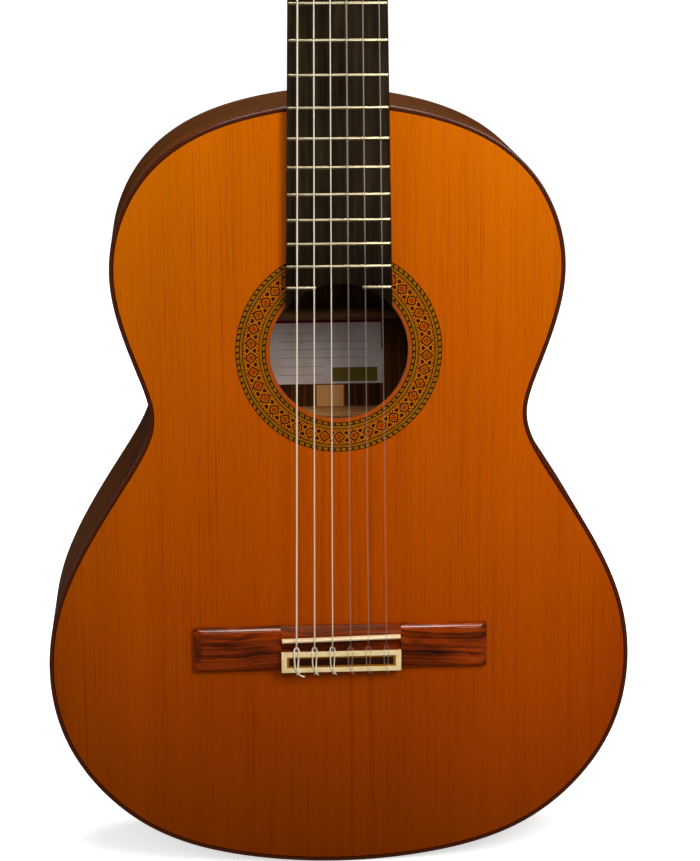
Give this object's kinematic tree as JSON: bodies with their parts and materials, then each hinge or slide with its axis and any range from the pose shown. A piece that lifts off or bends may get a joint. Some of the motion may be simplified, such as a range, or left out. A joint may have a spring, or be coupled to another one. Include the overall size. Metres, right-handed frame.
{
  "type": "classical guitar",
  "caption": "Classical guitar with a waisted hollow wooden body, round soundhole, fretted neck, tie bridge and slotted headstock with geared tuning rollers.",
  "frame": {"origin": "centre of the flat end graft at the tail end of the body, half way between the soundboard face and the back plane", "axes": "+Z from the tail up the neck to the headstock, +X to the treble side (right as seen from the front), -Y out of the soundboard towards the player's audience"},
  "size_m": [0.3614, 0.1155, 0.992],
  "materials": {
    "cedar": "orange-brown softwood, glossy",
    "rosewood": "dark streaked rosewood, glossy",
    "mahogany": "red-brown neck wood, satin",
    "ebony": "near-black, oiled",
    "spruce": "bare pale softwood",
    "mosaic": "inlaid wood mosaic, glossy",
    "bone": "cream, polished",
    "nickel_silver": "polished fret wire",
    "machine_brass": "gold-coloured plate, polished",
    "machine_steel": "plated worm and button",
    "nylon": "clear monofilament",
    "wound": "silver-plated winding"
  },
  "bodies": {
    "guitar": {"soundboard": "cedar", "rosette": "mosaic", "side_bass": "rosewood", "side_treble": "rosewood", "top_binding": "rosewood", "back_binding": "rosewood", "end_graft": "rosewood", "back_plate": "rosewood", "tail_block": "mahogany", "top_bracing": "spruce", "back_bracing": "spruce", "neck": "mahogany", "heel_cap": "rosewood", "fingerboard": "ebony", "nut": "bone", "bridge": "rosewood", "tie_block_trim": "bone", "saddle": "bone", "headstock": "mahogany", "headstock_veneer": "rosewood", "tuner_plate_bass": "machine_brass", "tuner_plate_treble": "machine_brass", "fret_01": "nickel_silver", "fret_02": "nickel_silver", "fret_03": "nickel_silver", "fret_04": "nickel_silver", "fret_05": "nickel_silver", "fret_06": "nickel_silver", "fret_07": "nickel_silver", "fret_08": "nickel_silver", "fret_09": "nickel_silver", "fret_10": "nickel_silver", "fret_11": "nickel_silver", "fret_12": "nickel_silver", "fret_13": "nickel_silver", "fret_14": "nickel_silver", "fret_15": "nickel_silver", "fret_16": "nickel_silver", "fret_17": "nickel_silver", "fret_18": "nickel_silver", "fret_19_bass": "nickel_silver", "fret_19_treble": "nickel_silver", "string_6": "wound", "string_5": "wound", "string_4": "wound", "string_3": "nylon", "string_2": "nylon", "string_1": "nylon"},
    "roller_6": {"tuner_roller_6": "machine_brass"},
    "button_6": {"tuner_worm_6": "machine_steel"},
    "roller_5": {"tuner_roller_5": "machine_brass"},
    "button_5": {"tuner_worm_5": "machine_steel"},
    "roller_4": {"tuner_roller_4": "machine_brass"},
    "button_4": {"tuner_worm_4": "machine_steel"},
    "roller_3": {"tuner_roller_3": "machine_brass"},
    "button_3": {"tuner_worm_3": "machine_steel"},
    "roller_2": {"tuner_roller_2": "machine_brass"},
    "button_2": {"tuner_worm_2": "machine_steel"},
    "roller_1": {"tuner_roller_1": "machine_brass"},
    "button_1": {"tuner_worm_1": "machine_steel"}
  },
  "joints": [
    {"name": "button_turn_6", "type": "hinge", "parent": "guitar", "child": "button_6", "pos_m": [-0.0407, -0.0274, 0.85271], "axis": [0, 0.9659, -0.2588], "continuous": true},
    {"name": "roller_turn_6", "type": "hinge", "parent": "guitar", "child": "roller_6", "pos_m": [-0.03, -0.02533, 0.86044], "axis": [1, 0, 0], "continuous": true},
    {"name": "button_turn_5", "type": "hinge", "parent": "guitar", "child": "button_5", "pos_m": [-0.0407, -0.01834, 0.88652], "axis": [0, 0.9659, -0.2588], "continuous": true},
    {"name": "roller_turn_5", "type": "hinge", "parent": "guitar", "child": "roller_5", "pos_m": [-0.03, -0.01627, 0.89424], "axis": [1, 0, 0], "continuous": true},
    {"name": "button_turn_4", "type": "hinge", "parent": "guitar", "child": "button_4", "pos_m": [-0.0407, -0.00928, 0.92032], "axis": [0, 0.9659, -0.2588], "continuous": true},
    {"name": "roller_turn_4", "type": "hinge", "parent": "guitar", "child": "roller_4", "pos_m": [-0.03, -0.00721, 0.92805], "axis": [1, 0, 0], "continuous": true},
    {"name": "button_turn_3", "type": "hinge", "parent": "guitar", "child": "button_3", "pos_m": [0.0407, -0.00928, 0.92032], "axis": [0, 0.9659, -0.2588], "continuous": true},
    {"name": "roller_turn_3", "type": "hinge", "parent": "guitar", "child": "roller_3", "pos_m": [0.03, -0.00721, 0.92805], "axis": [1, 0, 0], "continuous": true},
    {"name": "button_turn_2", "type": "hinge", "parent": "guitar", "child": "button_2", "pos_m": [0.0407, -0.01834, 0.88652], "axis": [0, 0.9659, -0.2588], "continuous": true},
    {"name": "roller_turn_2", "type": "hinge", "parent": "guitar", "child": "roller_2", "pos_m": [0.03, -0.01627, 0.89424], "axis": [1, 0, 0], "continuous": true},
    {"name": "button_turn_1", "type": "hinge", "parent": "guitar", "child": "button_1", "pos_m": [0.0407, -0.0274, 0.85271], "axis": [0, 0.9659, -0.2588], "continuous": true},
    {"name": "roller_turn_1", "type": "hinge", "parent": "guitar", "child": "roller_1", "pos_m": [0.03, -0.02533, 0.86044], "axis": [1, 0, 0], "continuous": true}
  ],
  "couplings": [
    {"joint": "roller_turn_6", "follows": "button_turn_6", "ratio": 0.071429},
    {"joint": "roller_turn_5", "follows": "button_turn_5", "ratio": 0.071429},
    {"joint": "roller_turn_4", "follows": "button_turn_4", "ratio": 0.071429},
    {"joint": "roller_turn_3", "follows": "button_turn_3", "ratio": 0.071429},
    {"joint": "roller_turn_2", "follows": "button_turn_2", "ratio": 0.071429},
    {"joint": "roller_turn_1", "follows": "button_turn_1", "ratio": 0.071429}
  ]
}
